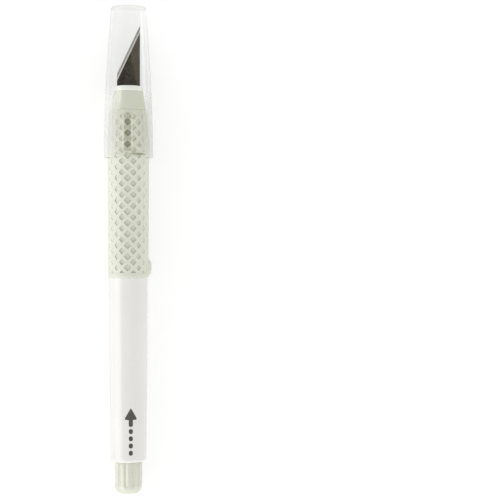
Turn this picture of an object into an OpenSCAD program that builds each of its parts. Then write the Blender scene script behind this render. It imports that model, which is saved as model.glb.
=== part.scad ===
// Capped craft knife with a rear-release draw chuck.
// The knife lies along +X, blade tip forward, with the flat of the blade facing +Z.
// Every station "_x" is measured from the rear end of the knob; the origin sits in the
// middle of the barrel's straight stretch.

/* [Knob] */
// Length of the knob that shows behind the barrel
knob_len = 8.97; // [7:0.05:12]
// Radius of the knob
knob_r = 3.82; // [3.4:0.01:4.4]
// Number of finger flutes round the knob
knob_flutes = 12; // [6:1:16]
// Depth of a flute
flute_depth = 0.36; // [0.1:0.02:0.5]

/* [Barrel] */
// Length of bare barrel between the knob and the grip
barrel_len = 51.25; // [40:0.05:70]
// Radius of the straight front stretch of the barrel
barrel_r = 5.45; // [5.2:0.05:5.6]
// Radius at the barrel's rear end
barrel_tail_r = 5.07; // [4.9:0.01:5.4]
// Length of the straight stretch, which a holder can clamp
clamp_len = 15; // [8:1:25]

/* [Grip] */
// Length of the grip sleeve
grip_len = 46.8; // [44:0.1:60]
// Radius at the rear of the grip
grip_rear_r = 5.62; // [5.5:0.01:5.8]
// Radius where the cap's mouth sits
grip_r = 5.75; // [5.6:0.05:5.85]
// Radius at the front of the grip
grip_front_r = 5.0; // [4.9:0.05:5.2]
// Columns of diamond pockets round the grip, an even number
diamond_columns = 22; // [12:2:26]
// Spacing of the diamonds along a column
diamond_pitch = 3.105; // [2.5:0.01:4]
// Size of a diamond pocket, corner to corner
diamond_size = 1.9; // [1:0.05:2.2]
// Depth of a diamond pocket
diamond_depth = 0.32; // [0.1:0.01:0.5]
// Turn of the diamond pattern round the grip, from a column facing straight up
pattern_turn = -2.5; // [-16:0.5:16]
// Height of the anti-roll nub above the grip
nub_height = 0.84; // [0.5:0.01:1.5]

/* [Nose and blade] */
// Length of the nose cone that shows in front of the grip
nose_len = 5.25; // [4:0.1:8]
// Radius of the nose cone's front face
nose_front_r = 4.1; // [3.9:0.05:4.4]
// Length of the blade holder's collar
collar_len = 1.5; // [1:0.05:2]
// Length of blade that shows in front of the collar
blade_len = 17.15; // [14:0.05:18]
// Width of the blade
blade_w = 6.4; // [5.8:0.1:6.6]
// Thickness of the blade
blade_t = 0.5; // [0.4:0.05:0.6]
// Angle of the cutting edge to the blade's back
edge_angle = 25.2; // [22:0.1:30]
// Width of the ground bevel along the cutting edge
bevel_w = 0.6; // [0.4:0.05:1]

/* [Cap] */
// Overall length of the cap
cap_len = 42.1; // [42:0.1:50]
// Radius of the cap over its mouth
cap_mouth_r = 6.9; // [6.8:0.05:7.2]
// Radius of the cap at its closed end, before its edge is rounded
cap_end_r = 4.82; // [4.6:0.02:5.2]
// Thickness of the cap's wall
cap_wall = 0.9; // [0.8:0.05:0.95]
// Number of holding ribs inside the cap, which are spaced evenly
cap_ribs = 4; // [3:1:6]

/* [Draw chuck] */
// Radius of the draw rod
rod_r = 1.5; // [1.2:0.1:1.6]
// Pitch of the knob's screw
screw_pitch = 1.0; // [0.5:0.1:1.5]
// Turns of spring wire
spring_turns = 8; // [5:1:12]

/* [Hidden] */
$fn = 96;

// Stations along the axis
barrel_x = knob_len;
grip_x = barrel_x + barrel_len;
nose_x = grip_x + grip_len;
collar_x = nose_x + nose_len;
blade_x = collar_x + collar_len;
tip_x = blade_x + blade_len;
cap_x = grip_x + 33.6;
cap_end_x = cap_x + cap_len;
datum_x = grip_x - clamp_len / 2;
spigot_end_x = nose_x - 3.9;
ball_x = collar_x - 18.55;

// Radii shared by parts that fit one another
fit = 0.03;                      // running clearance on a radius
bore_r = 3.2;                    // barrel's bore
spigot_r = 4.35;                 // barrel's front spigot, inside the grip
rear_bore_r = 4.0;               // barrel's counterbore for the knob's bush
neck_r = 2.9;                    // knob's neck
nut_r = 2.3;                     // brass nut moulded into the knob
collet_r = 2.2;                  // collet behind its head
collet_head_r = 2.6;
ball_r = 1.1;                    // ball on the tail of the blade holder
holder_r = 2.8;                  // thick stretch of the blade holder
holder_flat = 2.35;              // half height over the blade holder's flats
socket_gap = 0.06;               // clearance round the blade holder in the nose
thread_depth = 0.25;
rib_w = 2.3;                     // width of a holding rib in the cap
pin_r = 0.5;

// Colours
white = [0.93, 0.93, 0.91];
sage = [0.80, 0.83, 0.75];
steel = [0.62, 0.63, 0.64];
dark_steel = [0.30, 0.29, 0.26];
brass = [0.80, 0.66, 0.36];
clear = [0.90, 0.93, 0.94, 0.4];
black = [0.12, 0.12, 0.12];
pale_grey = [0.62, 0.62, 0.60];

// ---- Helpers -------------------------------------------------------------

// Turns a solid that was built along Z so that it lies along X, on its own station.
module on_axis(x = 0) translate([x - datum_x, 0, 0]) rotate([0, 90, 0]) children();

// A turned solid: each point of the outline is [station, radius].
module turned(outline) on_axis() rotate_extrude() polygon([for (p = outline) [p[1], p[0]]]);

// A plain ring or, with no hole, a disc.
module ring(x0, x1, outer, hole = 0)
    turned([[x0, hole], [x1, hole], [x1, outer], [x0, outer]]);

// Points on an arc in the outline plane, from angle a0 to a1.
function arc(x, r, rad, a0, a1, steps = 8) = oval_arc(x, r, rad, rad, a0, a1, steps);

// The same on an oval, long along the axis by one radius and across it by the other.
function oval_arc(x, r, long, across, a0, a1, steps = 8) =
    [for (i = [0 : steps]) let (a = a0 + (a1 - a0) * i / steps) [x + long * cos(a), r + across * sin(a)]];

// Outline points of a thread drawn as vee grooves, from x0 to x1 at crest radius r.
function vee_grooves(x0, x1, r, pitch, depth) =
    [for (i = [0 : floor((x1 - x0) / pitch) - 1], k = [0 : 2])
        [x0 + pitch * (i + 0.25 + 0.25 * k), k == 1 ? r - depth : r]];

// A straight slot through the object along Z: round ends, length along X.
module slot_along_x(x, len, w) {
    translate([x - datum_x, 0, 0]) {
        for (side = [-1, 1]) translate([side * (len - w) / 2, 0, -10]) cylinder(r = w / 2, h = 20);
        cube([len - w, w, 20], center = true);
    }
}

// ---- Grip ----------------------------------------------------------------

nose_taper_x = cap_x;                                   // the grip narrows in front of this
function grip_surface(x) = x < nose_taper_x
    ? grip_rear_r + (grip_r - grip_rear_r) * (x - grip_x) / (nose_taper_x - grip_x)
    : grip_r - (grip_r - grip_front_r) * pow((x - nose_taper_x) / (nose_x - nose_taper_x), 2.2);

pattern_x0 = grip_x + 1.4;                             // plain band behind the diamonds
pattern_x1 = nose_x - 1.05;                              // plain band in front of them
first_diamond_x = grip_x + 2.9;

// Half width of a diamond at distance u from its middle.
function diamond_half(u) = max(0, diamond_size / 2 - abs(u));

// A diamond cut off square at lo and hi.
function diamond(lo, hi) =
    let (h = diamond_size / 2,
         us = [for (u = [max(-h, lo), (lo + 0.01 < 0 && hi - 0.01 > 0) ? 0 : (max(-h, lo) + min(h, hi)) / 2,
                         min(h, hi)]) u])
    concat([for (u = us) [u, diamond_half(u)]],
           [for (i = [2 : -1 : 0]) if (diamond_half(us[i]) > 0.001) [us[i], -diamond_half(us[i])]]);

// One pocket at station x, sunk in the surface that faces +Z.
module pocket(x) {
    lo = pattern_x0 - x;
    hi = pattern_x1 - x;
    translate([x - datum_x, 0, grip_surface(x) - diamond_depth])
        linear_extrude(2) polygon(diamond(lo, hi));
}

module diamond_pockets() {
    rows = ceil((pattern_x1 - first_diamond_x) / diamond_pitch);
    for (column = [0 : diamond_columns - 1], row = [-1 : rows]) {
        x = first_diamond_x + diamond_pitch * (row + (column % 2) / 2);
        inside = x > pattern_x0 - diamond_size * 0.4 && x < pattern_x1 + diamond_size * 0.4;
        turn = column * 360 / diamond_columns + pattern_turn;
        beside_nub = abs(turn - 90) < 20 && x < grip_x + 7;
        if (inside && !beside_nub)
            rotate([turn, 0, 0]) pocket(x);
    }
}

// The nub that stops the knife rolling, on the side of the blade's back (-Y).
module anti_roll_nub() {
    r = 1.8;
    foot_r = r - nub_height - 0.06;
    x0 = grip_x + 0.1;
    translate([0, r - nub_height - grip_rear_r, 0])
        turned([[x0, 0], [x0, foot_r], [x0 + 1.6, r - 0.08], [x0 + 2.0, r], [x0 + 4.1, r],
                [x0 + 4.4, r - 0.06], [x0 + 5.2, foot_r + 0.15], [x0 + 5.6, foot_r], [x0 + 5.6, 0]]);
}

module grip_sleeve() {
    edge = 0.25;
    outline = concat(
        [[grip_x, spigot_r]],
        arc(grip_x + edge, grip_rear_r - edge, edge, 180, 90, 4),
        [for (i = [0 : 12]) let (x = nose_taper_x + (nose_x - edge - nose_taper_x) * i / 12) [x, grip_surface(x)]],
        [[nose_x, grip_front_r - edge], [nose_x, spigot_r]]);
    color(sage) difference() {
        union() {
            turned(outline);
            anti_roll_nub();
        }
        ring(grip_x - 1, nose_x + 1, spigot_r);
        diamond_pockets();
    }
}

// ---- Barrel and the fixed parts inside it -----------------------------------

rear_bore_end_x = barrel_x + 6.95;

module barrel() {
    corner = 1.0;
    color(white) turned(concat(
        [[barrel_x, rear_bore_r]],
        arc(barrel_x + corner, barrel_tail_r - corner, corner, 180, 90),
        [[grip_x - clamp_len, barrel_r], [grip_x, barrel_r], [grip_x, spigot_r],
         [spigot_end_x, spigot_r], [spigot_end_x, bore_r],
         [rear_bore_end_x, bore_r], [rear_bore_end_x, rear_bore_r]]));
}

// Blade holder's tail, from the collar back to its ball. Stations are counted from the collar.
tail = [[0, holder_r], [-6.6, holder_r], [-7.5, 2.5], [-9.2, 2.33], [-11.3, 2.08],
        [-13.45, 1.54], [-15.6, 1.03], [-16.85, 0.74]];
function tail_point(i, gap) = [collar_x + tail[i][0] - gap, tail[i][1] + gap];

socket_end_x = collar_x - 14.9;                         // back face of the nose cone

module nose_socket() {
    intersection() {
        turned(concat(
            [[collar_x + 1, 0], [collar_x + 1, holder_r + socket_gap]],
            [for (i = [1 : 5]) tail_point(i, socket_gap)],
            [[socket_end_x, 1.32], [socket_end_x - 1, 1.32], [socket_end_x - 1, 0]]));
        cube([400, 20, 2 * (holder_flat + socket_gap)], center = true);
    }
}

module nose_cone() {
    edge = 0.25;
    color(sage) difference() {
        turned(concat(
            [[socket_end_x, 0], [socket_end_x, bore_r - thread_depth]],
            vee_grooves(socket_end_x + 0.4, spigot_end_x - 0.4, bore_r - 0.01, 0.8, thread_depth),
            [[spigot_end_x, bore_r - 0.01], [spigot_end_x, spigot_r], [nose_x, spigot_r],
             [nose_x, grip_front_r - 0.08], [nose_x + 2.8, 4.42]],
            arc(collar_x - edge, nose_front_r - edge, edge, 90, 0, 4),
            [[collar_x, 0]]));
        nose_socket();
    }
}

sleeve_x = socket_end_x - 8.0;                          // closing sleeve's back face
head_x = ball_x - 1.25;                                 // collet's body meets its head here

module closing_sleeve() {
    color(steel) turned([
        [sleeve_x, collet_r + 0.05], [head_x - 0.1, collet_r + 0.05],
        [head_x + 1.1, collet_head_r + 0.06], [head_x + 3.1, collet_head_r + 0.06],
        [head_x + 3.9, collet_head_r + 0.35], [socket_end_x, collet_head_r + 0.35],
        [socket_end_x, bore_r], [sleeve_x, bore_r]]);
}

seat_t = 0.5;
module front_spring_seat() color(steel) ring(sleeve_x - seat_t, sleeve_x, bore_r - 0.1, collet_r + 0.1);

bush_x = grip_x - 20.5;
bush_len = 13.5;
keyway_len = 5.4;
keyway_w = 2 * pin_r + 0.06;

module guide_bush() {
    color(pale_grey) difference() {
        ring(bush_x, bush_x + bush_len, bore_r, rod_r + fit);
        translate([bush_x - 1 - datum_x, -5, -keyway_w / 2]) cube([keyway_len + 1, 10, keyway_w]);
    }
}

bush_end_x = barrel_x + 4.35;
module end_bush() color(pale_grey) ring(barrel_x, bush_end_x, rear_bore_r, neck_r + fit);

washer_t = 0.4;
module thrust_washer() color(white) ring(bush_end_x, bush_end_x + washer_t, 3.7, neck_r + 0.05);

// ---- Draw rod and the parts on it ------------------------------------------

rod_rear_x = 3.5;
rod_front_x = ball_x - 6.55;
flange_x = sleeve_x - 18.2;
flange_t = 1.0;
pin_x = bush_x + 2.2;

module draw_rod() {
    thread_end_x = 14;
    color(steel) difference() {
        turned(concat(
            [[rod_rear_x, 0], [rod_rear_x, rod_r - thread_depth]],
            vee_grooves(rod_rear_x + 0.25, thread_end_x, rod_r, screw_pitch, thread_depth),
            [[thread_end_x, rod_r], [flange_x, rod_r], [flange_x, bore_r - 0.25],
             [flange_x + flange_t, bore_r - 0.25], [flange_x + flange_t, rod_r]],
            vee_grooves(rod_front_x - 7, rod_front_x - 0.2, rod_r, 0.6, 0.18),
            [[rod_front_x, rod_r - 0.2], [rod_front_x, 0]]));
        translate([pin_x - datum_x, 0, 0]) rotate([90, 0, 0]) cylinder(r = pin_r, h = 10, center = true);
    }
}

module key_pin()
    color(steel) translate([pin_x - datum_x, 0, 0]) rotate([90, 0, 0])
        cylinder(r = pin_r, h = 2 * (bore_r - 0.4), center = true);

module rear_spring_seat()
    color(steel) ring(flange_x + flange_t, flange_x + flange_t + seat_t, bore_r - 0.1, rod_r + fit);

collet_rear_x = rod_front_x - 2.0;
nut_t = 1.8;
module lock_nut() {
    across_corners_r = 2.35;
    color(brass) difference() {
        on_axis(collet_rear_x - nut_t) cylinder(r = across_corners_r, h = nut_t, $fn = 6);
        ring(collet_rear_x - nut_t - 1, collet_rear_x + 1, rod_r + 0.02);
    }
}

// Four springy fingers that close on the ball when the rod draws them into the sleeve.
module collet() {
    slot_w = 0.5;
    finger_x = rod_front_x + 0.8;
    front_x = ball_x + 1.45;
    color(brass) difference() {
        turned([
            [collet_rear_x, rod_r + 0.02], [rod_front_x + 0.3, rod_r + 0.02], [rod_front_x + 0.3, 0.7],
            [ball_x - ball_r - 0.25, 0.7], [ball_x - ball_r - 0.25, ball_r + 0.05],
            [front_x, ball_r + 0.15], [front_x, collet_head_r - 0.3],
            [front_x - 0.3, collet_head_r], [head_x + 1.2, collet_head_r],
            [head_x, collet_r], [collet_rear_x, collet_r]]);
        for (a = [45, 135])
            rotate([a, 0, 0]) translate([finger_x - datum_x, -5, -slot_w / 2]) cube([20, 10, slot_w]);
    }
}

// ---- Spring ----------------------------------------------------------------

spring_wire_r = 0.225;
spring_coil_r = 2.8;
spring_x0 = flange_x + flange_t + seat_t + spring_wire_r + 0.02;
spring_x1 = sleeve_x - seat_t - spring_wire_r - 0.02;

// Point on the spring's centre line: the last turn at each end lies flat, as if closed.
function spring_rise(t) = t < 1 ? 0.12 * t : t > spring_turns - 1 ? 1 - 0.12 * (spring_turns - t)
    : 0.12 + 0.76 * (t - 1) / (spring_turns - 2);
function spring_x(t) = spring_x0 + (spring_x1 - spring_x0) * spring_rise(t);

module return_spring() {
    sides = 8;
    per_turn = 24;
    n = spring_turns * per_turn;
    points = [for (i = [0 : n], k = [0 : sides - 1])
        let (turn = 360 * i / per_turn, a = 360 * k / sides, r = spring_coil_r + spring_wire_r * cos(a))
        [spring_x(i / per_turn) + spring_wire_r * sin(a) - datum_x, r * cos(turn), r * sin(turn)]];
    walls = [for (i = [0 : n - 1], k = [0 : sides - 1])
        let (a = i * sides + k, b = i * sides + (k + 1) % sides) [a, a + sides, b + sides, b]];
    color(steel) polyhedron(points, concat(walls,
        [[for (k = [0 : sides - 1]) k]], [[for (k = [sides - 1 : -1 : 0]) n * sides + k]]));
}

// ---- Knob and the parts on it ------------------------------------------------

neck_end_x = barrel_x + 5.95;
clip_x = bush_end_x + washer_t;
clip_t = 0.5;
clip_groove_r = 2.4;
ring_wire_r = 0.28;
ring_x = barrel_x + 2.1;

module knob() {
    dome_len = 2.5;
    dome_r = 1.7;
    flute_r = 0.6;
    flute_x = 2.35;
    color(sage) difference() {
        turned(concat(
            [[0, 0]], oval_arc(dome_len, knob_r - dome_r, dome_len, dome_r, 180, 90, 10),
            [[barrel_x - 0.05, knob_r], [barrel_x - 0.05, neck_r],
             [ring_x - ring_wire_r - 0.02, neck_r], [ring_x - ring_wire_r - 0.02, neck_r - 2 * ring_wire_r - 0.02],
             [ring_x + ring_wire_r + 0.02, neck_r - 2 * ring_wire_r - 0.02], [ring_x + ring_wire_r + 0.02, neck_r],
             [clip_x - 0.02, neck_r], [clip_x - 0.02, clip_groove_r],
             [clip_x + clip_t + 0.05, clip_groove_r], [clip_x + clip_t + 0.05, neck_r],
             [neck_end_x - 0.3, neck_r], [neck_end_x, neck_r - 0.3], [neck_end_x, 0]]));
        for (i = [0 : knob_flutes - 1]) rotate([360 * (i + 0.5) / knob_flutes, 0, 0])
            translate([flute_x - datum_x, 0, knob_r - flute_depth + flute_r]) {
                rotate([0, 90, 0]) cylinder(r = flute_r, h = barrel_x - flute_x);
                sphere(r = flute_r);
            }
        ring(3.0, neck_end_x + 1, rod_r + 0.25);
        ring(3.0, barrel_x + 0.35, nut_r);
    }
}

module knob_nut() {
    x1 = barrel_x + 0.35;
    color(brass) turned(concat(
        [[3.0, rod_r + fit], [3.0, nut_r]],
        [for (i = [0 : 2], k = [0 : 3]) [3.9 + 1.6 * i + [0, 0, 0.6, 0.6][k], nut_r - [0, 0.2, 0.2, 0][k]]],
        [[x1, nut_r], [x1, rod_r + fit]]));
}

// A spring-steel clip, open on one side, that keeps the knob in the barrel.
module retaining_clip() {
    color(steel) difference() {
        ring(clip_x, clip_x + clip_t, 3.6, clip_groove_r + 0.02);
        translate([clip_x - 1 - datum_x, -1.2, -5]) cube([3, 2.4, 5]);
    }
}

module friction_ring()
    color(black) on_axis(ring_x) rotate_extrude() translate([neck_r - ring_wire_r, 0]) circle(r = ring_wire_r, $fn = 32);

// ---- Blade and its holder ------------------------------------------------------

root_len = 0.8;                 // full width of the blade inside the collar
tang_w = 4.4;
tang_x = collar_x - 7.9;        // rear end of the tang
hole_x = collar_x - 5.2;
heel_x = tip_x - blade_w / tan(edge_angle);

module blade_outline() polygon([
    [tang_x, -tang_w / 2], [blade_x - root_len, -tang_w / 2], [blade_x - root_len, -blade_w / 2],
    [tip_x, -blade_w / 2], [heel_x, blade_w / 2], [blade_x - root_len, blade_w / 2],
    [blade_x - root_len, tang_w / 2], [tang_x, tang_w / 2]]);

// Blade before its tang is slotted, which is also the shape of the hole moulded round it.
module blade_blank() translate([-datum_x, 0, -blade_t / 2]) linear_extrude(blade_t) blade_outline();

// Cuts one face of the cutting edge back to a bevel.
module bevel_cut() {
    grind = atan(0.5 * blade_t / bevel_w);
    translate([heel_x - datum_x, blade_w / 2, 0]) rotate([0, 0, -edge_angle])
        rotate([-grind, 0, 0]) translate([-3, -4, 0]) cube([30, 12, 3]);
}

module blade() {
    color(dark_steel) difference() {
        blade_blank();
        bevel_cut();
        mirror([0, 0, 1]) bevel_cut();
        slot_along_x(hole_x, 3.7, 1.7);
    }
}

module blade_holder() {
    ball_neck = acos(0.72 / ball_r);
    color(white) difference() {
        intersection() {
            turned(concat(
                [[blade_x, 0]],
                [for (i = [0 : 6]) let (a = 15 * i) [collar_x + collar_len * cos(a), 3.45 + 0.55 * sin(a)]],
                [[collar_x, holder_r]],
                [for (i = [1 : 7]) tail_point(i, 0)],
                arc(ball_x, 0, ball_r, 90 - ball_neck, 180, 10)));
            union() {
                cube([400, 20, 2 * holder_flat], center = true);
                translate([collar_x - datum_x, -10, -10]) cube([10, 20, 20]);
            }
        }
        blade_blank();
        slot_along_x(hole_x, 4.1, 2.1);
    }
}

// ---- Cap ---------------------------------------------------------------------

function cap_surface(x) = cap_mouth_r
    - (cap_mouth_r - cap_end_r) * pow((x - cap_x) / cap_len, 1.75);

module cap() {
    rim = 0.25;
    corner = 0.55;
    inner_corner = 0.4;
    end_t = 0.75;
    steps = 16;
    inner_end_x = cap_end_x - end_t;
    outer_x1 = cap_end_x - corner;
    inner_x1 = inner_end_x - inner_corner;
    outside = [for (i = [1 : steps]) let (x = cap_x + rim + (outer_x1 - cap_x - rim) * i / steps) [x, cap_surface(x)]];
    inside = [for (i = [steps : -1 : 1]) let (x = cap_x + rim + (inner_x1 - cap_x - rim) * i / steps)
        [x, cap_surface(x) - cap_wall]];
    rib_x0 = cap_x + 1.6;
    rib_x1 = nose_x - 1.3;
    color(clear) union() {
        turned(concat(
            arc(cap_x + rim, cap_mouth_r - rim, rim, 180, 90, 4), outside,
            arc(outer_x1, cap_surface(outer_x1) - corner, corner, 80, 0),
            [[cap_end_x, 0], [inner_end_x, 0]],
            arc(inner_x1, cap_surface(inner_x1) - cap_wall - inner_corner, inner_corner, 0, 80, 5), inside,
            [[cap_x, cap_mouth_r - cap_wall + 0.1]]));
        intersection() {
            turned(concat(
                [for (i = [0 : 8]) let (x = rib_x0 + (rib_x1 - rib_x0) * i / 8) [x, grip_surface(x) + fit]],
                [[rib_x1 + 1.2, cap_surface(rib_x1) - cap_wall + 0.3], [rib_x0, cap_surface(rib_x0) - cap_wall + 0.3]]));
            for (i = [0 : cap_ribs - 1]) rotate([360 * i / cap_ribs, 0, 0])
                translate([rib_x0 - 1 - datum_x, -rib_w / 2, 0]) cube([rib_x1 - rib_x0 + 5, rib_w, 10]);
        }
    }
}

barrel();
grip_sleeve();
nose_cone();
closing_sleeve();
front_spring_seat();
return_spring();
guide_bush();
end_bush();
thrust_washer();
draw_rod();
collet();
lock_nut();
key_pin();
rear_spring_seat();
knob();
knob_nut();
retaining_clip();
friction_ring();
blade();
blade_holder();
cap();
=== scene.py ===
from math import atan2, cos, degrees, hypot, pi, radians, sin, sqrt

import bmesh
import bpy
from mathutils import Matrix, Vector


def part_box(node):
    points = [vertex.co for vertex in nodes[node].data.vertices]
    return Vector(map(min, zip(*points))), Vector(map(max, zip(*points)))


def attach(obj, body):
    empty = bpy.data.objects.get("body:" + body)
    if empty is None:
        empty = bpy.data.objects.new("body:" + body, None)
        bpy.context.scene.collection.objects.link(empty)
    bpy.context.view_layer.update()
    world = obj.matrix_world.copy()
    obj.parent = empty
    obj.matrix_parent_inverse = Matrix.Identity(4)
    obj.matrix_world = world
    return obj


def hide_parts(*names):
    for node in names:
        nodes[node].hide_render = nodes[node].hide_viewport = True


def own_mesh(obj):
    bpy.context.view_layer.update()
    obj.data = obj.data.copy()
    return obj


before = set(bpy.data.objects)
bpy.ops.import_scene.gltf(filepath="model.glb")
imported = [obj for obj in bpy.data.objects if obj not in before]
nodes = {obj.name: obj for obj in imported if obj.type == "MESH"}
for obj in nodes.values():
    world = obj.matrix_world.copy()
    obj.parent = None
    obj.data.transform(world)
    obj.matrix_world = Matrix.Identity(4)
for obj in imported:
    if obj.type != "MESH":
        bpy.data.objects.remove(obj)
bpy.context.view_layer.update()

MM = 0.001

# ---- Measures, from the frame ------------------------------------------------------

GRIP_LO, GRIP_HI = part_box("grip_sleeve")
CAP_LO, CAP_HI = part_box("cap")
KNOB_LO, KNOB_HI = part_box("knob")
BLADE_LO, BLADE_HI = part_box("blade")
GRIP_X0, GRIP_X1 = GRIP_LO.x, GRIP_HI.x
CAP_X0, CAP_X1 = CAP_LO.x, CAP_HI.x
BARREL_X0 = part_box("barrel")[0].x
NOSE_X1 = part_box("nose_cone")[1].x
RIB_X0, RIB_X1 = CAP_X0 + 1.6 * MM, GRIP_X1 - 1.3 * MM  # the cap's holding ribs
RIB_TOP, RIB_FOOT = radians(8.4), radians(13.0)  # half the width of a rib at its top and at its foot
RIB_TURN = radians(-2.6)  # how far the cap is turned on the knife, from a rib facing straight up
EDGE_ANGLE, BEVEL_W = radians(25.2), 0.9 * MM  # the blade's cutting edge


def outline(node, least=0.0):
    """The outer outline of a turned CAD node: [(x, radius)] at each of its stations over the least radius."""
    widest = {}
    for v in nodes[node].data.vertices:
        x, r = round(v.co.x, 6), hypot(v.co.y, v.co.z)
        if r > least:
            widest[x] = max(widest.get(x, 0.0), r)
    return sorted(widest.items())


def between(stations, x):
    """The value at x, straight between the stations [(x, value)]."""
    for (x0, value0), (x1, value1) in zip(stations, stations[1:]):
        if x0 <= x <= x1:
            return value0 + (value1 - value0) * (x - x0) / (x1 - x0) if x1 > x0 else value0
    return stations[0][1] if x < stations[0][0] else stations[-1][1]


def ease(value, low, high):
    """A smooth rise from 0 at low to 1 at high."""
    t = min(1.0, max(0.0, (value - low) / (high - low)))
    return t * t * (3 - 2 * t)


# ---- Camera --------------------------------------------------------------------------

VIEW_WIDTH = 0.140  # width of the view at the knife's axis
VIEW_X = 0.01529  # the middle of the view, along the knife
VIEW_TURN = radians(5.0)  # how far the camera, above the knife, turns to its right
LENS, SENSOR = 100.0, 36.0  # focal length and width of the picture, in camera mm


def make_camera():
    """A camera above the knife, with +X up the picture, that looks a little to its right."""
    data = bpy.data.cameras.new("camera")
    data.lens = LENS
    data.sensor_width = SENSOR
    data.clip_start, data.clip_end = 0.01, 20.0
    cam = bpy.data.objects.new("camera", data)
    bpy.context.scene.collection.objects.link(cam)
    above = VIEW_WIDTH * LENS / SENSOR / cos(VIEW_TURN)
    turned = Matrix.Rotation(-VIEW_TURN, 4, "X") @ Matrix.Rotation(-pi / 2, 4, "Z")
    cam.matrix_world = Matrix.Translation((VIEW_X, 0.0, above)) @ turned
    bpy.context.scene.camera = cam


make_camera()


# ---- Node helpers --------------------------------------------------------------------


class Shader:
    """A material's node tree, built a node at a time.

    Its coordinates are the frame's metres, so noise of scale 1000 has features about 1 mm across."""

    def __init__(self, name):
        self.mat = bpy.data.materials.new(name)
        self.mat.use_nodes = True
        self.tree = self.mat.node_tree
        self.surface = self.tree.nodes["Principled BSDF"]
        self.coords = self.tree.nodes.new("ShaderNodeTexCoord").outputs["Object"]

    def node(self, kind, inputs=None, **settings):
        n = self.tree.nodes.new("ShaderNode" + kind)
        for key, value in settings.items():
            setattr(n, key, value)
        for key, value in (inputs or {}).items():
            self.feed(n.inputs[key], value)
        return n

    def feed(self, socket, value):
        if isinstance(value, bpy.types.NodeSocket):
            self.tree.links.new(value, socket)
        else:
            socket.default_value = value

    def set(self, **inputs):
        """Feeds inputs of the surface, whose names are written with _ for a space."""
        for key, value in inputs.items():
            self.feed(self.surface.inputs[key.replace("_", " ")], value)

    def xyz(self):
        return self.node("SeparateXYZ", {"Vector": self.coords}).outputs

    def attribute(self, name):
        return self.node("Attribute", attribute_name=name).outputs["Fac"]

    def stretched(self, scale):
        return self.node("Mapping", {"Vector": self.coords, "Scale": scale}).outputs[0]

    def noise(self, scale, detail=2.0, rough=0.5, coords=None):
        inputs = {"Vector": coords or self.coords, "Scale": scale, "Detail": detail, "Roughness": rough}
        return self.node("TexNoise", inputs).outputs["Fac"]

    def ramp(self, value, low, high, out_low=0.0, out_high=1.0):
        """out_low at low, out_high at high, straight between them and level beyond. Low may be over high."""
        inputs = {"Value": value, "From Min": low, "From Max": high, "To Min": out_low, "To Max": out_high}
        return self.node("MapRange", inputs).outputs["Result"]

    def band(self, value, low, rise, fall, high):
        """1 from rise to fall, and 0 below low and above high."""
        return self.times(self.ramp(value, low, rise), self.ramp(value, high, fall))

    def math(self, operation, first, *others):
        """A chain of math nodes: the operation on the first two values, then on that and the next one."""
        for other in others:
            n = self.node("Math", operation=operation)
            self.feed(n.inputs[0], first)
            self.feed(n.inputs[1], other)
            first = n.outputs[0]
        return first

    def plus(self, *values):
        return self.math("ADD", *values)

    def less(self, one, other):
        return self.math("SUBTRACT", one, other)

    def times(self, *values):
        return self.math("MULTIPLY", *values)

    def blend(self, share, one, other):
        n = self.node("Mix", data_type="RGBA")
        self.feed(n.inputs["Factor"], share)
        self.feed(n.inputs["A"], one)
        self.feed(n.inputs["B"], other)
        return n.outputs["Result"]

    def bump(self, height, distance, strength=1.0, normal=None):
        inputs = {"Height": height, "Distance": distance, "Strength": strength}
        if normal is not None:
            inputs["Normal"] = normal
        return self.node("Bump", inputs).outputs["Normal"]


def rgba(r, g, b):
    return (r, g, b, 1.0)


# ---- Materials -----------------------------------------------------------------------


def moulded(name, colour, shade, rough, milk=0.0, shine=0.5):
    """Moulded plastic: faint drift and specks of colour, uneven gloss, a fine grain and lengthwise scuffs.

    Milk is the share of light that it scatters below its surface."""
    s = Shader(name)
    drift = s.ramp(s.noise(90, 3), 0.35, 0.65)
    specks = s.ramp(s.noise(5200, 2, 0.6), 0.62, 0.78, 0.0, 0.3)
    scuffs = s.ramp(s.noise(1.0, 4, 0.65, s.stretched((260, 4200, 4200))), 0.62, 0.72)
    gloss = s.plus(s.ramp(s.noise(700, 4), 0.3, 0.7, rough * 0.85, rough * 1.15), s.times(scuffs, 0.06))
    grain = s.bump(s.noise(9000, 3), 0.004 * MM)
    s.set(Base_Color=s.blend(specks, s.blend(drift, colour, shade), rgba(*[c * 0.9 for c in shade[:3]])),
          Roughness=gloss, IOR=1.5, Specular_IOR_Level=shine,
          Normal=s.bump(scuffs, 0.003 * MM, 0.6, grain))
    if milk:
        s.set(Subsurface_Weight=milk, Subsurface_Radius=(1.0, 0.95, 0.85), Subsurface_Scale=0.8 * MM)
    return s


def metal(name, colour, rough, along):
    """Metal with fine tool marks in its gloss, colour and bump: noise with its own scale on each axis."""
    s = Shader(name)
    marks = s.noise(1.0, 5, 0.6, s.stretched(along))
    tone = s.ramp(s.plus(marks, s.times(s.noise(160, 3), 0.6)), 0.55, 1.05)
    s.set(Base_Color=s.blend(tone, rgba(*[c * 0.72 for c in colour[:3]]), colour), Metallic=1.0,
          Roughness=s.ramp(marks, 0.3, 0.7, rough * 0.75, rough * 1.3),
          Normal=s.bump(marks, 0.004 * MM, 0.5))
    return s


def rib_angle(s, y, z):
    """Angle away from the middle of the nearest of the cap's four ribs."""
    around = s.math("ARCTAN2", s.less(0.0, y), z)
    return s.math("PINGPONG", s.less(around, RIB_TURN), pi / 4)


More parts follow.
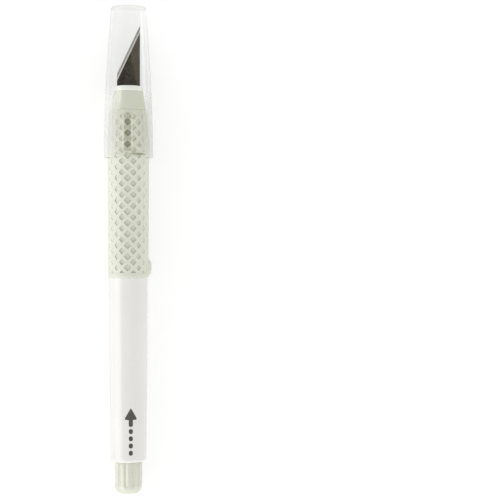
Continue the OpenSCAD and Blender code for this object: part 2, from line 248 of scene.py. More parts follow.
def grip_rubber():
    """Soft elastomer: satin, with a very fine grain and specks, and painted shade in its pockets."""
    s = Shader("grip_rubber")
    x, y, z = s.xyz()
    sunk, wall = s.attribute("sunk"), s.attribute("wall")
    base = s.blend(s.ramp(s.noise(140, 3), 0.35, 0.65), rgba(0.73, 0.745, 0.64), rgba(0.70, 0.715, 0.612))
    # painted shade: darker towards the pockets' floors, and on their walls
    base = s.blend(s.ramp(sunk, 0.35, 1.0, 0.0, 0.28), base, rgba(0.50, 0.515, 0.405))
    base = s.blend(s.times(wall, 0.5), base, rgba(0.42, 0.43, 0.33))
    # painted shade, deeper still, in the pockets that the cap's ribs cover
    under_rib = s.ramp(rib_angle(s, y, z), RIB_TOP + radians(2.0), RIB_TOP)
    painted_rib_shade = s.times(under_rib, s.ramp(x, RIB_X0 - 0.2 * MM, RIB_X0), s.ramp(sunk, 0.1, 0.6))
    base = s.blend(s.times(painted_rib_shade, 0.5), base, rgba(0.22, 0.23, 0.15))
    specks = s.ramp(s.noise(6500, 2), 0.62, 0.72, 0.0, 0.35)
    s.set(Base_Color=s.blend(specks, base, rgba(0.55, 0.58, 0.46)),
          Roughness=s.ramp(s.noise(1500, 4), 0.3, 0.7, 0.42, 0.55), IOR=1.45, Specular_IOR_Level=0.35,
          Subsurface_Weight=0.06, Subsurface_Radius=(1.0, 0.95, 0.8), Subsurface_Scale=0.6 * MM,
          Normal=s.bump(s.noise(11000, 3), 0.006 * MM, 0.8))
    return s


def blade_steel():
    """Carbon steel: dark oiled faces, mottled and ground across, and a brighter bevel with two dark lines."""
    s = Shader("blade_steel")
    x, y, _ = s.xyz()
    marks = s.noise(1.0, 4, 0.6, s.stretched((7000, 300, 300)))
    mottle = s.ramp(s.noise(1100, 5, 0.7), 0.44, 0.6)
    bloom = s.ramp(s.noise(230, 4), 0.45, 0.62)
    face = s.blend(mottle, rgba(0.006, 0.004, 0.001), rgba(0.040, 0.030, 0.014))
    face = s.blend(s.times(bloom, 0.3), face, rgba(0.11, 0.09, 0.055))
    face = s.blend(s.times(s.ramp(marks, 0.45, 0.75), 0.2), face, rgba(0.13, 0.11, 0.08))
    # lighter in a stretch along the blade's back, which widens towards the tip, and towards the tip itself
    spread, spread_x = 0.18, BLADE_HI.x - 10.3 * MM
    from_spine = s.less(y, s.times(s.less(x, spread_x), spread))
    spine = s.ramp(from_spine, -0.8 * MM, -1.4 * MM, 0.0, 0.40)
    towards_tip = s.ramp(x, BLADE_LO.x + 6 * MM, BLADE_HI.x - 4 * MM, 0.0, 0.14)
    face = s.blend(spine, face, rgba(0.17, 0.145, 0.10))
    face = s.blend(towards_tip, face, rgba(0.26, 0.235, 0.19))
    # the bevel, by distance from the cutting edge, which runs from the tip at EDGE_ANGLE to the blade's back
    from_tip = s.times(s.less(BLADE_HI.x, x), sin(EDGE_ANGLE))
    from_edge = s.less(from_tip, s.times(s.less(y, BLADE_LO.y), cos(EDGE_ANGLE)))
    bevel = s.ramp(from_edge, BEVEL_W, BEVEL_W - 0.02 * MM)
    lines = s.plus(s.ramp(from_edge, 0.10 * MM, 0.06 * MM),
                   s.band(from_edge, 0.20 * MM, 0.24 * MM, 0.40 * MM, 0.44 * MM))
    grinding = s.ramp(s.noise(1.0, 3, 0.6, s.stretched((5200, 5200, 400))), 0.35, 0.7)
    ground = s.blend(grinding, rgba(0.44, 0.43, 0.41), rgba(0.54, 0.53, 0.51))
    ground = s.blend(s.ramp(from_edge, 0.44 * MM, 0.50 * MM), ground, rgba(0.56, 0.55, 0.53))
    ground = s.blend(lines, ground, rgba(0.055, 0.05, 0.045))
    s.set(Base_Color=s.blend(bevel, face, ground), Metallic=1.0,
          Roughness=s.plus(s.ramp(marks, 0.3, 0.7, 0.30, 0.42), s.times(bevel, 0.05)),
          Normal=s.bump(marks, 0.005 * MM, 0.6))
    return s


def clear_plastic():
    """Clear polystyrene as a thin shell without refraction: each face lets most of the light through.

    It has a gloss, a tint and a faint milkiness. Painted shade darkens the tint in lines on the contours,
    round the mouth, on the ribs' tops and along its right side; painted reflection lightens it over the grip,
    beside the near rib, and on the ribs' flanks."""
    s = Shader("clear_plastic")
    x, y, z = s.xyz()
    inner = s.attribute("inner")  # 1 in the bore, 0 outside
    outer = s.less(1.0, inner)
    grazing = s.node("LayerWeight", {"Blend": 0.32}).outputs["Facing"]
    flow = s.noise(1.0, 3, 0.5, s.stretched((90, 600, 600)))
    shape = s.bump(flow, 0.01 * MM, 0.12)
    s.set(Base_Color=s.blend(s.ramp(flow, 0.3, 0.7), rgba(0.94, 0.95, 0.93), rgba(0.97, 0.975, 0.955)),
          Roughness=s.ramp(s.noise(700, 3), 0.4, 0.75, 0.35, 0.5), IOR=1.5, Specular_IOR_Level=0.1,
          Normal=shape)

    # where the ribs are, and the stretch over the grip and the nose's cone
    away = rib_angle(s, y, z)
    along_rib = s.band(x, RIB_X0 - 0.1 * MM, RIB_X0, RIB_X1 - 0.3 * MM, RIB_X1 + 0.3 * MM)
    rib_top = s.times(along_rib, s.ramp(away, RIB_TOP + radians(0.6), RIB_TOP))
    flank = s.times(along_rib, s.band(away, RIB_TOP + radians(0.3), RIB_TOP + radians(1.6),
                                      RIB_FOOT - radians(2.0), RIB_FOOT + radians(3.0)))
    over_grip = s.ramp(x, NOSE_X1 + 1.0 * MM, NOSE_X1 - 3.0 * MM)
    outer_over_grip = s.times(over_grip, outer)

    # painted shade in lines: on the contours, on the mouth's lip and on the closed end's rounded corner, and
    # a painted shadow line just inside the mouth
    contour = s.times(outer, s.ramp(grazing, 0.55, 0.95))
    lip = s.times(s.ramp(x, CAP_X0 + 0.9 * MM, CAP_X0 + 0.2 * MM), outer, s.ramp(grazing, 0.3, 0.6))
    corner = s.times(s.band(x, CAP_X1 - 0.6 * MM, CAP_X1 - 0.3 * MM, CAP_X1 - 0.1 * MM, CAP_X1 - 0.02 * MM),
                     outer, s.ramp(grazing, 0.2, 0.5))
    lines = s.math("MAXIMUM", contour, lip, corner)
    # painted shadow just inside the mouth, on the right, where its inner edge meets the grip
    painted_mouth_shadow = s.times(s.band(x, CAP_X0 + 0.45 * MM, CAP_X0 + 0.6 * MM, CAP_X0 + 0.85 * MM, CAP_X0 + 1.1 * MM),
                   inner, s.ramp(y, 0.0, -1.6 * MM, 0.1, 0.85), s.ramp(y, -5.4 * MM, -3.6 * MM))
    # painted shade along the cap's right side over the grip
    painted_side_shade = s.times(outer_over_grip, s.ramp(y, -5.3 * MM, -5.9 * MM, 0.0, 0.7))

    tint = s.blend(outer, rgba(0.995, 0.995, 0.994), rgba(0.955, 0.956, 0.952))
    tint = s.blend(s.times(over_grip, s.ramp(grazing, 0.75, 0.35)), tint, rgba(0.99, 0.99, 0.985))
    # painted shade on the ribs' tops, where they touch the grip
    tint = s.blend(s.times(rib_top, 0.95), tint, rgba(0.90, 0.90, 0.87))
    tint = s.blend(lines, tint, rgba(0.80, 0.805, 0.79))
    tint = s.blend(painted_side_shade, tint, rgba(0.84, 0.845, 0.83))
    tint = s.blend(painted_mouth_shadow, tint, rgba(0.56, 0.57, 0.49))

    # painted reflection over the grip on both sides of the near rib, and painted highlights on the contours
    # and the ribs' flanks, over the plastic's own faint milkiness: +Y is the left side in the camera's view
    left = s.plus(s.ramp(y, 0.9 * MM, 1.8 * MM, 0.0, 0.25), s.ramp(y, 2.6 * MM, 4.8 * MM, 0.0, 0.75))
    right = s.ramp(y, -3.6 * MM, -5.4 * MM, 0.0, 0.35)
    haze_and_painted_reflection = s.plus(s.times(contour, 0.1), s.ramp(flow, 0.3, 0.8, 0.005, 0.015),
                  s.times(outer_over_grip, s.times(left, 0.46)), s.times(outer_over_grip, right),
                  s.times(flank, 0.2))

    pane = s.node("BsdfTransparent", {"Color": tint}).outputs[0]
    gloss = s.node("BsdfGlossy", {"Color": rgba(1, 1, 1), "Roughness": 0.3, "Normal": shape}).outputs[0]
    glossy = s.times(s.node("Fresnel", {"IOR": 1.45}).outputs[0], outer, 0.12)
    clear = s.node("MixShader", {0: glossy, 1: pane, 2: gloss}).outputs[0]
    whole = s.node("MixShader", {0: haze_and_painted_reflection, 1: clear, 2: s.surface.outputs[0]}).outputs[0]
    s.feed(s.tree.nodes["Material Output"].inputs["Surface"], whole)
    return s


BARREL_WHITE = moulded("barrel_plastic", rgba(0.825, 0.815, 0.79), rgba(0.805, 0.795, 0.765), rough=0.2,
                       milk=0.08, shine=0.42)
SAGE = moulded("nose_plastic", rgba(0.72, 0.745, 0.61), rgba(0.69, 0.715, 0.58), rough=0.11,
               milk=0.05, shine=0.9)
KNOB_SAGE = moulded("knob_plastic", rgba(0.73, 0.74, 0.635), rgba(0.70, 0.71, 0.605), rough=0.3, milk=0.08)
HOLDER = moulded("holder_plastic", rgba(0.97, 0.97, 0.93), rgba(0.94, 0.94, 0.89), rough=0.4)
WASHER = moulded("washer_plastic", rgba(0.80, 0.80, 0.77), rgba(0.77, 0.77, 0.73), rough=0.45)
BUSH = moulded("bush_plastic", rgba(0.62, 0.62, 0.60), rgba(0.58, 0.58, 0.56), rough=0.5)
NITRILE = moulded("ring_rubber", rgba(0.012, 0.012, 0.012), rgba(0.02, 0.02, 0.02), rough=0.6)
MARK = moulded("mark_ink", rgba(0.055, 0.052, 0.035), rgba(0.075, 0.07, 0.05), rough=0.45)
TURNED_STEEL = metal("steel", rgba(0.62, 0.62, 0.63), rough=0.28, along=(9000, 400, 400))
WIRE = metal("spring_steel", rgba(0.52, 0.53, 0.55), rough=0.3, along=(1500, 1500, 1500))
BRASS = metal("brass", rgba(0.78, 0.58, 0.26), rough=0.26, along=(9000, 400, 400))
GRIP = grip_rubber()
BLADE = blade_steel()
CLEAR = clear_plastic()


def paint(name, shader):
    """Gives a CAD node its material, and smooth shading."""
    mesh = nodes[name].data
    mesh.materials.clear()
    mesh.materials.append(shader.mat)
    for p in mesh.polygons:
        p.use_smooth = True


for node, shader in {
    "barrel": BARREL_WHITE, "nose_cone": SAGE, "knob": KNOB_SAGE, "blade_holder": HOLDER,
    "thrust_washer": WASHER, "guide_bush": BUSH, "end_bush": BUSH, "friction_ring": NITRILE,
    "closing_sleeve": TURNED_STEEL, "front_spring_seat": TURNED_STEEL, "rear_spring_seat": TURNED_STEEL,
    "draw_rod": TURNED_STEEL, "key_pin": TURNED_STEEL, "return_spring": WIRE, "retaining_clip": WIRE,
    "collet": BRASS, "lock_nut": BRASS, "knob_nut": BRASS, "blade": BLADE,
    "cap": CLEAR, "grip_sleeve": GRIP,
}.items():
    paint(node, shader)


# ---- Mesh helpers --------------------------------------------------------------------


def ring_point(x, r, a):
    """A point at station x and radius r, turned by a from the top (+Z) towards -Y."""
    return (x, -r * sin(a), r * cos(a))


def piece(name, points, faces, shader, body, node=None, sharp=None):
    """A mesh object in the row frame, which rides on a body and may stand for a CAD node."""
    mesh = bpy.data.meshes.new(name)
    mesh.from_pydata(points, [], faces)
    mesh.validate()
    mesh.materials.append(shader.mat)
    for p in mesh.polygons:
        p.use_smooth = True
    if sharp:
        mesh.set_sharp_from_angle(angle=radians(sharp))
    obj = bpy.data.objects.new(name, mesh)
    bpy.context.scene.collection.objects.link(obj)
    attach(obj, body)
    if node:
        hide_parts(node)
    return obj


def lathe(profile, columns, closed=False):
    """Points and faces of a turned surface, from (x, radius) or (x, function of the column) entries."""
    points, faces, rings = [], [], []
    for x, r in profile:
        if r == 0:
            rings.append([len(points)] * columns)
            points.append((x, 0.0, 0.0))
            continue
        rings.append(list(range(len(points), len(points) + columns)))
        for k in range(columns):
            points.append(ring_point(x, r(k) if callable(r) else r, 2 * pi * k / columns))
    pairs = list(zip(rings, rings[1:])) + ([(rings[-1], rings[0])] if closed else [])
    for one, other in pairs:
        for k in range(columns):
            j = (k + 1) % columns
            corners = []
            for v in (one[k], one[j], other[j], other[k]):
                if v not in corners:
                    corners.append(v)
            faces.append(corners)
    return points, faces


def arc(x, r, radius, start, end, steps=6):
    """Profile points on an arc round (x, r), in degrees from +X towards larger radii."""
    angles = [radians(start + (end - start) * i / steps) for i in range(steps + 1)]
    return [(x + radius * cos(a), r + radius * sin(a)) for a in angles]


def spaced(start, end, steps, first=0):
    """Evenly spaced values from start to end, from the first step on."""
    return [start + (end - start) * i / steps for i in range(first, steps + 1)]


# ---- Grip: a sleeve with sunk diamonds, and its nub --------------------------------------

SPIGOT_R = 4.35 * MM  # the barrel's front end, which the sleeve sits on
GRIP_REAR_R, GRIP_R, GRIP_FRONT_R = 5.62 * MM, 5.75 * MM, 5.0 * MM  # at the rear, the cap's mouth, the front
GRIP_ROUND = 0.25 * MM  # rounding of the edges at both ends
# the pockets' columns, their pitch and their first station; every other column is half a pitch further on
COLUMNS, PITCH, FIRST_X = 22, 3.105 * MM, GRIP_X0 + 2.9 * MM
COLUMN_TURN, PATTERN_TURN = 2 * pi / COLUMNS, radians(-2.5)
PATTERN_X0, PATTERN_X1 = GRIP_X0 + 1.4 * MM, GRIP_X1 - 1.05 * MM  # the straight ends of the pattern
LAP = 0.35 * MM  # how far the pattern's surface reaches over the plain bands at both ends
BAND_SINK = 0.006 * MM  # how far those bands pass under it
CUT_MOST = 0.76 * MM  # how far past the pattern's end the middle of a cut pocket may lie
NUB_ANGLE, NUB_CLEAR, NUB_CLEAR_X = pi / 2, radians(20), GRIP_X0 + 7 * MM  # no pockets near the nub
HALF_POCKET, POCKET_DEPTH = 0.95, 0.32  # half the size of a pocket, and its depth, in mm
# a pocket's rings, down to its floor: half the size, the depth in mm, and how square the corners are
RINGS = [(1.16, 0.0, 1.0), (1.05, 0.0, 1.03), (1.0, 0.012, 1.06), (0.96, 0.055, 1.08), (0.87, 0.235, 1.1),
         (0.82, 0.295, 1.12), (0.74, 0.318, 1.12), (0.4, 0.32, 1.1)]
# a pocket's scale along the grip and round it, by its angle in degrees from the top or the bottom
SCALE_ALONG = [(0, 1.05), (4, 1.04), (16, 0.92), (33, 0.90), (49, 0.88), (90, 0.88)]
SCALE_ROUND = [(0, 1.06), (4, 1.05), (16, 0.90), (33, 0.74), (49, 0.62), (90, 0.62)]


def grip_radius(x):
    """Radius of the plain surface: a straight taper up to the cap's mouth, and a curve down to the nose."""
    if x < CAP_X0:
        return GRIP_REAR_R + (GRIP_R - GRIP_REAR_R) * (x - GRIP_X0) / (CAP_X0 - GRIP_X0)
    return GRIP_R - (GRIP_R - GRIP_FRONT_R) * ((x - CAP_X0) / (GRIP_X1 - CAP_X0)) ** 2.2


def grip_slope(x):
    step = 0.01 * MM
    return (grip_radius(x + step) - grip_radius(x - step)) / (2 * step)


def side_angle(a):
    """How far the angle a is from the nearer of the top and the bottom."""
    return abs((a + pi / 2) % pi - pi / 2)


def pocket_share(a):
    """How deep a pocket is for its place round the grip: full on top and below, shallow at the sides."""
    return 1.0 - 0.62 * ease(side_angle(a), radians(20), radians(58))


def around_diamond(sides):
    """Directions round a diamond, with the same share of each side between them."""
    out = []
    for i in range(4):
        for k in range(sides):
            t = k / sides
            out.append(((1 - t, t), (-t, 1 - t), (t - 1, -t), (t, t - 1))[i])
    return out


def add_cell(points, faces, x, middle, ways):
    """Adds the pattern's diamond cell round station x and the angle middle, with its pocket.

    The pattern's straight ends cut the pockets they cross: each ring is cut there, or closes to a point."""
    near_nub = abs(middle - NUB_ANGLE) < NUB_CLEAR and x < NUB_CLEAR_X
    sunk = PATTERN_X0 - CUT_MOST < x < PATTERN_X1 + CUT_MOST and not near_nub
    share = pocket_share(middle) if sunk else 0.0
    place = degrees(side_angle(middle))
    along, across = between(SCALE_ALONG, place), between(SCALE_ROUND, place)
    r = grip_radius(x)

    def vertex(px, a, depth=0.0):
        points.append(ring_point(px, grip_radius(px) - depth, a))
        return len(points) - 1

    lo, hi = PATTERN_X0 - LAP, PATTERN_X1 + LAP
    rings = [[vertex(min(max(x + u * PITCH / 2, lo), hi), middle + v * COLUMN_TURN) for u, v in ways]]
    deepest = 0.0
    for half, depth, square in RINGS:
        inset = (half - HALF_POCKET) * MM
        lo, hi = PATTERN_X0 - inset, PATTERN_X1 + inset
        room = half * along * MM
        closed = max(lo - x, x - hi, 0.0) >= room
        if closed:
            reach = HALF_POCKET * along * MM
            lo = hi = (PATTERN_X0 + x + reach) / 2 if x < PATTERN_X0 + MM else (PATTERN_X1 + x - reach) / 2
        else:
            deepest = depth * MM
        ring = []
        for u, v in ways:
            size = room / (abs(u) ** square + abs(v) ** square) ** (1 / square)
            px, away = x + u * size, v * size
            if not lo <= px <= hi or closed:
                px = min(max(px, lo), hi)
                limit = 0.0 if closed else max(0.0, room - abs(px - x))
                away = min(max(away, -limit), limit)
            ring.append(vertex(px, middle + away * across / along / r, deepest * share))
        rings.append(ring)
    centre = vertex(min(max(x, lo), hi), middle, deepest * share)
    for one, other in zip(rings, rings[1:]):
        for k in range(len(ways)):
            j = (k + 1) % len(ways)
            faces.append((one[k], other[k], other[j], one[j]))
    for k in range(len(ways)):
        faces.append((rings[-1][k], centre, rings[-1][(k + 1) % len(ways)]))


def weld(mesh):
    """Joins the cells of a mesh, and turns all its faces outwards."""
    work = bmesh.new()
    work.from_mesh(mesh)
    bmesh.ops.remove_doubles(work, verts=work.verts, dist=0.0002 * MM)
    bmesh.ops.dissolve_degenerate(work, edges=work.edges, dist=0.00001 * MM)
    bmesh.ops.recalc_face_normals(work, faces=work.faces)
    work.to_mesh(mesh)
    work.free()


def shade_plain_surface(mesh):
    """Lets the grip's plain surface shade as a smooth cone, whatever the edges of its cells do."""
    normals = []
    for v in mesh.vertices:
        x, y, z = v.co
        r = hypot(y, z)
        plain = abs(r - grip_radius(x)) < 0.002 * MM
        if plain and GRIP_X0 + GRIP_ROUND < x < GRIP_X1 - GRIP_ROUND:
            normals.append(Vector((-grip_slope(x), y / r, z / r)).normalized())
        else:
            normals.append(Vector((0, 0, 0)))
    mesh.set_sharp_from_angle(angle=radians(60))
    mesh.normals_split_custom_set_from_vertices(normals)


def mark_pockets(mesh):
    """Writes how deep each vertex lies in its pocket, as "sunk", and how much it is on a wall, as "wall".

    Both go from 0 to 1, and set the grip's painted shade. The wall's share falls off over the pocket's rim
    and over the edge of its floor."""
    rim, floor_edge = 0.12, 0.02
    sunk = mesh.attributes.new("sunk", "FLOAT", "POINT")
    wall = mesh.attributes.new("wall", "FLOAT", "POINT")
    for v in mesh.vertices:
        x, y, z = v.co
        depth = (grip_radius(x) - hypot(y, z)) / (POCKET_DEPTH * MM)
        in_bore = depth > 1.5
        if in_bore or not PATTERN_X0 - 0.1 * MM < x < PATTERN_X1 + 0.1 * MM:
            depth = 0.0
        depth = min(1.0, max(0.0, depth))
        column = round((atan2(-y, z) - PATTERN_TURN) / COLUMN_TURN)
        share = pocket_share(column * COLUMN_TURN + PATTERN_TURN)
        part = min(1.0, depth / share)
        sunk.data[v.index].value = depth
        wall.data[v.index].value = share ** 2 * min(1.0, part / rim) * min(1.0, (1.0 - part) / floor_edge)


def make_grip():
    """Diamond cells side by side, with plain bands at both ends, and the bore."""
    points, faces = [], []
    ways = around_diamond(6)
    rows = int((PATTERN_X1 - FIRST_X) / PITCH)
    reach = PITCH / 2 + 0.4 * MM  # cells further than this from the pattern are left out
    for column in range(COLUMNS):
        for row in range(-2, rows + 3):
            x = FIRST_X + PITCH * (row + (column % 2) / 2)
            if PATTERN_X0 - reach <= x <= PATTERN_X1 + reach:
                add_cell(points, faces, x, column * COLUMN_TURN + PATTERN_TURN, ways)

    rear = [(GRIP_X0, SPIGOT_R)] + arc(GRIP_X0 + GRIP_ROUND, GRIP_REAR_R - GRIP_ROUND, GRIP_ROUND, 180, 90)
    rear += [(PATTERN_X0 - LAP, grip_radius(PATTERN_X0 - LAP)),
             (PATTERN_X0 + 0.1 * MM, grip_radius(PATTERN_X0) - BAND_SINK)]
    front = [(PATTERN_X1 - 0.1 * MM, grip_radius(PATTERN_X1) - BAND_SINK),
             (PATTERN_X1 + LAP, grip_radius(PATTERN_X1 + LAP))]
    front += arc(GRIP_X1 - GRIP_ROUND, grip_radius(GRIP_X1 - GRIP_ROUND) - GRIP_ROUND, GRIP_ROUND, 86, 0)
    front += [(GRIP_X1, SPIGOT_R)]
    bore = [(GRIP_X1, SPIGOT_R), (GRIP_X0, SPIGOT_R)]
    for profile in (rear, front, bore):
        turned, sides = lathe(profile, 8 * COLUMNS)
        first = len(points)
        points.extend(turned)
        faces.extend([tuple(v + first for v in f) for f in sides])

    mesh = piece("grip_surface", points, faces, GRIP, "handle", "grip_sleeve").data
    weld(mesh)
    shade_plain_surface(mesh)
    mark_pockets(mesh)


# the nub's outline in mm: distance from its rear end, and radius
NUB = [(0.0, 0.9), (0.12, 0.92), (0.85, 1.36), (1.45, 1.65), (1.75, 1.75), (2.1, 1.79), (2.5, 1.8),
       (3.7, 1.8), (4.0, 1.785), (4.25, 1.72), (4.45, 1.6), (4.8, 1.34), (5.05, 1.14), (5.25, 1.02),
       (5.45, 0.95), (5.6, 0.9)]


def make_nub():
    """The anti-roll nub: a short turned swelling on the side of the blade's back, blunt at both ends."""
    x0, x1 = GRIP_X0 + 0.1 * MM, GRIP_X0 + 5.7 * MM
    axis_y = GRIP_LO.y + max(r for _, r in NUB) * MM
    points, faces = lathe([(x0, 0)] + [(x0 + x * MM, r * MM) for x, r in NUB] + [(x1, 0)], 64)
    points = [(x, y + axis_y, z) for x, y, z in points]
    nub = piece("grip_nub", points, faces, GRIP, "handle", sharp=60)
    smooth = nub.modifiers.new("round", "SUBSURF")
    smooth.levels = smooth.render_levels = 1


make_grip()
make_nub()


# ---- Knob: softly fluted, with its neck and the bore for the brass nut -------------------

FLUTES, FLUTE_TURN = 12, radians(18.5)
FLUTE_HALF, FLUTE_DEPTH = radians(9.0), 0.31 * MM  # half the width of a flute, round the knob, and its depth


def make_knob():
    """A turned knob: its profile runs from the domed end over the flutes to the neck, and back inside."""
    columns = 240
    x0, x1 = KNOB_LO.x, BARREL_X0 - 0.05 * MM  # the part outside the barrel
    r, neck_r = KNOB_HI.y, 2.9 * MM
    dome, dome_r = 2.5 * MM, 1.7 * MM  # the domed end's length, and how far it rounds inwards
    flute_x = x0 + 2.0 * MM

    def fluted(x, radius):
        """Radius at x by column, with the flutes, which fade out on the dome."""
        depth = FLUTE_DEPTH * ease(x, flute_x, flute_x + 0.85 * MM)

        def at(k):
            away = abs((2 * pi * k / columns - FLUTE_TURN + pi / FLUTES) % (2 * pi / FLUTES) - pi / FLUTES)
            return radius - depth * (1 - min(1.0, away / FLUTE_HALF) ** 2) ** 1.5

        return at

    def groove(start, end, floor_r):
        """A square groove in the neck."""
        return [(start, neck_r), (start, floor_r), (end, floor_r), (end, neck_r)]

    profile = [(x0, 0)]
    for a in spaced(0, pi / 2, 12):
        x = x0 + dome - dome * cos(a)
        profile.append((x, fluted(x, r - dome_r + dome_r * sin(a))))
    profile += [(x, fluted(x, r)) for x in spaced(x0 + dome, x0 + dome + 1.35 * MM, 3, 1)]
    # a small rounding at the end of the outside
    profile += [(x1 - 0.12 * MM, fluted(x1, r)), (x1 - 0.04 * MM, fluted(x1, r - 0.035 * MM)),
                (x1, fluted(x1, r - 0.12 * MM))]

    # the neck, with grooves for the friction ring and the clip
    ring_floor, clip_floor = 2.32 * MM, 2.4 * MM
    ring_x, clip_x, end = BARREL_X0 + 2.1 * MM, BARREL_X0 + 4.75 * MM, KNOB_HI.x
    profile += [(x1, neck_r)]
    profile += groove(ring_x - 0.3 * MM, ring_x + 0.3 * MM, ring_floor)
    profile += groove(clip_x - 0.02 * MM, clip_x + 0.55 * MM, clip_floor)
    profile += [(end - 0.3 * MM, neck_r), (end, neck_r - 0.3 * MM)]

    # the bore, which widens round the nut
    bore_r, nut_r = 1.75 * MM, 2.3 * MM
    nut_x0, nut_x1 = x0 + 3.0 * MM, BARREL_X0 + 0.35 * MM
    profile += [(end, bore_r), (nut_x1, bore_r), (nut_x1, nut_r), (nut_x0, nut_r), (nut_x0, 0)]
    points, faces = lathe(profile, columns)
    piece("knob_body", points, faces, KNOB_SAGE, "knob", "knob", sharp=40)


make_knob()


# ---- A plain printed mark on the barrel: an arrow towards the blade and a broken line ----

INK = 0.012 * MM  # how far the ink stands above the barrel


def stadium(length, half):
    """Half the width of a long shape with round ends, by the share along it."""

    def width(t):
        end = min(t * length, length - t * length)
        return sqrt(max(0.0, half ** 2 - (half - end) ** 2)) if end < half else half

    return width


def arrow_head(t):
    """Half the width of the arrow's head, by the share along it, with soft corners and a soft tip."""
    side = 1.85 * MM * (1 - t) + 0.1 * MM
    heel = 1.65 * MM * min(1.0, t / 0.06 + 0.35)
    tip = 1.9 * MM * sqrt(max(0.0, 1 - t))
    return min(side, heel, tip)


def make_mark():
    """Four dashes and an arrow, on the side that faces up."""
    barrel = outline("barrel", 4.9 * MM)
    middle_y = -0.65 * MM
    points, faces = [], []

    def shape(x0, length, half_width, steps, across=8):
        """A patch of ink from x0 on, whose half width is a function of the share along it."""
        first = len(points)
        for i in range(steps + 1):
            t = i / steps
            x = x0 + length * t
            r = between(barrel, x) + INK
            for k in range(across + 1):
                points.append(ring_point(x, r, (half_width(t) * (2 * k / across - 1) - middle_y) / r))
        for i in range(steps):
            for k in range(across):
                v = first + i * (across + 1) + k
                faces.append((v, v + 1, v + across + 2, v + across + 1))

    x, dash, gap, half = BARREL_X0 + 2.15 * MM, 1.4 * MM, 0.6 * MM, 0.56 * MM
    for _ in range(4):
        shape(x, dash, stadium(dash, half), 24)
        x += dash + gap
    # the arrow: a short stem with blunter ends, and its head
    shape(x, 2.0 * MM, stadium(4.0 * MM, half), 24)
    shape(x + 1.85 * MM, 3.2 * MM, arrow_head, 40)
    piece("barrel_mark", points, faces, MARK, "handle")


make_mark()


# ---- Return spring: a smooth coil; the real one shortens as the draw rod moves forward ---


def make_spring():
    """A coil of round wire whose first and last turns are closed."""
    lo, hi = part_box("return_spring")
    wire, turns, per_turn, sides = 0.225 * MM, 8, 40, 12
    flat = 0.12  # share of the length that the closed turn at each end takes
    coil = hi.z - wire
    x0, x1 = lo.x + wire, hi.x - wire
    rises = [(0, 0.0), (1, flat), (turns - 1, 1 - flat), (turns, 1.0)]
    points, faces = [], []
    count = turns * per_turn
    for i in range(count + 1):
        t = i / per_turn
        x, a = x0 + (x1 - x0) * between(rises, t), 2 * pi * t
        for k in range(sides):
            b = 2 * pi * k / sides
            r = coil + wire * cos(b)
            points.append((x + wire * sin(b), r * cos(a), r * sin(a)))
    for i in range(count):
        for k in range(sides):
            j = (k + 1) % sides
            faces.append((i * sides + k, (i + 1) * sides + k, (i + 1) * sides + j, i * sides + j))
    faces.append(tuple(range(sides)))
    faces.append(tuple(count * sides + k for k in reversed(range(sides))))
    spring = piece("spring_coil", points, faces, WIRE, "handle", "return_spring", sharp=60)
    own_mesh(spring)


make_spring()


# ---- Cap: one clear shell with a rounded rim, a thick closed end and holding ribs inside -

CAP_MOUTH_R, CAP_END_R, CAP_WALL = CAP_HI.z, 4.82 * MM, 0.9 * MM


def cap_radius(x):
    return CAP_MOUTH_R - (CAP_MOUTH_R - CAP_END_R) * max(0.0, (x - CAP_X0) / (CAP_X1 - CAP_X0)) ** 1.75


def bore_radius(x):
    return cap_radius(x) - CAP_WALL


def make_cap():
    """A turned shell: its profile runs from the mouth over the outside to the closed end, and back inside."""
    columns = 180
    rim, corner, inner_corner = 0.25 * MM, 0.55 * MM, 0.4 * MM
    end, flat_r = 0.75 * MM, 2.0 * MM  # the closed end's thickness, and a ring on its two flat faces
    mouth_x, outer_x1 = CAP_X0 + rim, CAP_X1 - corner
    inner_x1 = CAP_X1 - end - inner_corner

    def with_ribs(x):
        """Radius of the bore by column, with its four ribs, whose tops just clear the grip."""
        wall, gap = bore_radius(x), 0.03 * MM
        top = min(wall, grip_radius(min(x, GRIP_X1)) + gap)

        def radius(k):
            away = abs((2 * pi * k / columns - RIB_TURN + pi / 4) % (pi / 2) - pi / 4)
            rise = min(1.0, max(0.0, (RIB_FOOT - away) / (RIB_FOOT - RIB_TOP)))
            return wall + (top - wall) * rise

        return radius

    profile = arc(mouth_x, cap_radius(mouth_x) - rim, rim, 180, 90)
    profile += [(x, cap_radius(x)) for x in spaced(mouth_x, outer_x1, 60, 1)[:-1]]
    profile += arc(outer_x1, cap_radius(outer_x1) - corner, corner, 84, 0, 10)
    profile += [(CAP_X1, flat_r), (CAP_X1, 0), (CAP_X1 - end, 0), (CAP_X1 - end, flat_r)]
    profile += arc(inner_x1, bore_radius(inner_x1) - inner_corner, inner_corner, 0, 84, 8)
    ramp_x1 = RIB_X1 + 1.2 * MM  # where the ribs' front ends start to rise
    profile += [(x, bore_radius(x)) for x in spaced(inner_x1, ramp_x1, 36, 1)]
    profile += [(x, with_ribs(x)) for x in spaced(RIB_X1, RIB_X0, 14)]
    profile += [(RIB_X0 - 0.08 * MM, bore_radius(RIB_X0)), (mouth_x, bore_radius(mouth_x)),
                (CAP_X0, bore_radius(CAP_X0) + 0.1 * MM)]
    points, faces = lathe(profile, columns, closed=True)
    cap = piece("cap_shell", points, faces, CLEAR, "cap", "cap", sharp=38)
    inner = cap.data.attributes.new("inner", "FLOAT", "POINT")
    for v in cap.data.vertices:
        in_bore = hypot(v.co.y, v.co.z) < cap_radius(v.co.x) - 2 / 3 * CAP_WALL
        inner.data[v.index].value = 1.0 if in_bore and v.co.x < CAP_X1 - 0.5 * end else 0.0


make_cap()


# ---- Floor and lights ----------------------------------------------------------------

FLOOR_HALF = 20.0
SIDE_LIGHT, TOP_LIGHT = 1.19, 0.80  # brightness of the surround low down and overhead
LEAN_X, LEAN_Y = 0.45, 0.15  # how much brighter it is from behind the knob, and from the left
SOFTBOX_POWER, SOFTBOX_TURN, TABLE_POWER = 8.4, radians(30), 0.4


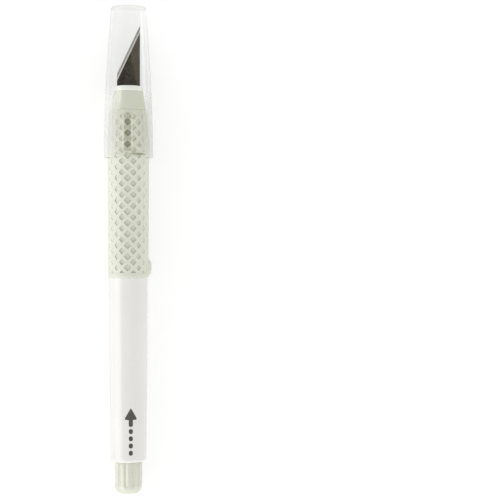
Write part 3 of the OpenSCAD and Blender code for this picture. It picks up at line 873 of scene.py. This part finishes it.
def make_stage():
    """A pale floor, tilted by a hair so that the knife rests on both its cap's rim and its barrel's rear."""
    rear_stations = outline("barrel")[:8]  # those of its rounded rear end
    rear_x, rear_r = max(rear_stations, key=lambda p: p[1])
    rim_x, rim_r = max(outline("cap"), key=lambda p: p[1])
    slope = (rim_r - rear_r) / (rim_x - rear_x)
    corners = [(x * FLOOR_HALF, y * FLOOR_HALF, -rear_r - slope * (x * FLOOR_HALF - rear_x))
               for x, y in ((-1, -1), (1, -1), (1, 1), (-1, 1))]
    mesh = bpy.data.meshes.new("floor")
    mesh.from_pydata(corners, [], [(0, 1, 2, 3)])
    floor = bpy.data.objects.new("floor", mesh)
    bpy.context.scene.collection.objects.link(floor)
    s = Shader("floor_white")
    s.set(Base_Color=s.blend(s.noise(20, 2), rgba(0.60, 0.60, 0.60), rgba(0.62, 0.62, 0.62)),
          Roughness=0.8, Specular_IOR_Level=0.1, Emission_Color=rgba(1, 1, 1), Emission_Strength=0.465)
    mesh.materials.append(s.mat)


def area_light(name, place, aim, size, power, turn=0.0):
    """A rectangular light that shows only in glossy surfaces."""
    data = bpy.data.lights.new(name, "AREA")
    data.shape = "RECTANGLE"
    data.size, data.size_y = size
    data.energy = power
    lamp = bpy.data.objects.new(name, data)
    bpy.context.scene.collection.objects.link(lamp)
    lamp.location = place
    facing = (Vector(aim) - Vector(place)).to_track_quat("-Z", "Y").to_matrix()
    lamp.rotation_euler = (facing @ Matrix.Rotation(turn, 3, "Z")).to_euler()
    lamp.visible_diffuse = lamp.visible_camera = False


def make_surround():
    """A bright surround that dims overhead, and is brighter from behind the knob and from the left."""
    world = bpy.data.worlds.new("studio")
    bpy.context.scene.world = world
    world.use_nodes = True
    tree = world.node_tree
    way = tree.nodes.new("ShaderNodeSeparateXYZ")
    tree.links.new(tree.nodes.new("ShaderNodeTexCoord").outputs["Generated"], way.inputs[0])

    def step(value, low, high, out_low, out_high):
        n = tree.nodes.new("ShaderNodeMapRange")
        tree.links.new(value, n.inputs["Value"])
        for key, number in (("From Min", low), ("From Max", high), ("To Min", out_low), ("To Max", out_high)):
            n.inputs[key].default_value = number
        return n.outputs["Result"]

    def times(one, other):
        n = tree.nodes.new("ShaderNodeMath")
        n.operation = "MULTIPLY"
        tree.links.new(one, n.inputs[0])
        tree.links.new(other, n.inputs[1])
        return n.outputs[0]

    height = step(way.outputs["Z"], 0.35, 0.85, SIDE_LIGHT, TOP_LIGHT)
    along = step(way.outputs["X"], -1.0, 1.0, 1.0 + LEAN_X, 1.0 - LEAN_X)
    across = step(way.outputs["Y"], -1.0, 1.0, 1.0 - LEAN_Y, 1.0 + LEAN_Y)
    back = tree.nodes["Background"]
    back.inputs["Color"].default_value = rgba(1, 1, 1)
    tree.links.new(times(height, times(along, across)), back.inputs["Strength"])


def make_reflections():
    """A long softbox on the left, and the bright table beside the knife, as they show in its gloss."""
    area_light("left_softbox", (-0.045, 0.62, 0.236), (-0.045, 0.0, 0.236), (1.6, 0.6),
               SOFTBOX_POWER, SOFTBOX_TURN)
    area_light("left_table", (0.0, 0.132, -0.005), (0.0, 0.132, 1.0), (0.5, 0.236), TABLE_POWER)


make_stage()
make_surround()
make_reflections()
bpy.context.scene.view_settings.view_transform = "Standard"
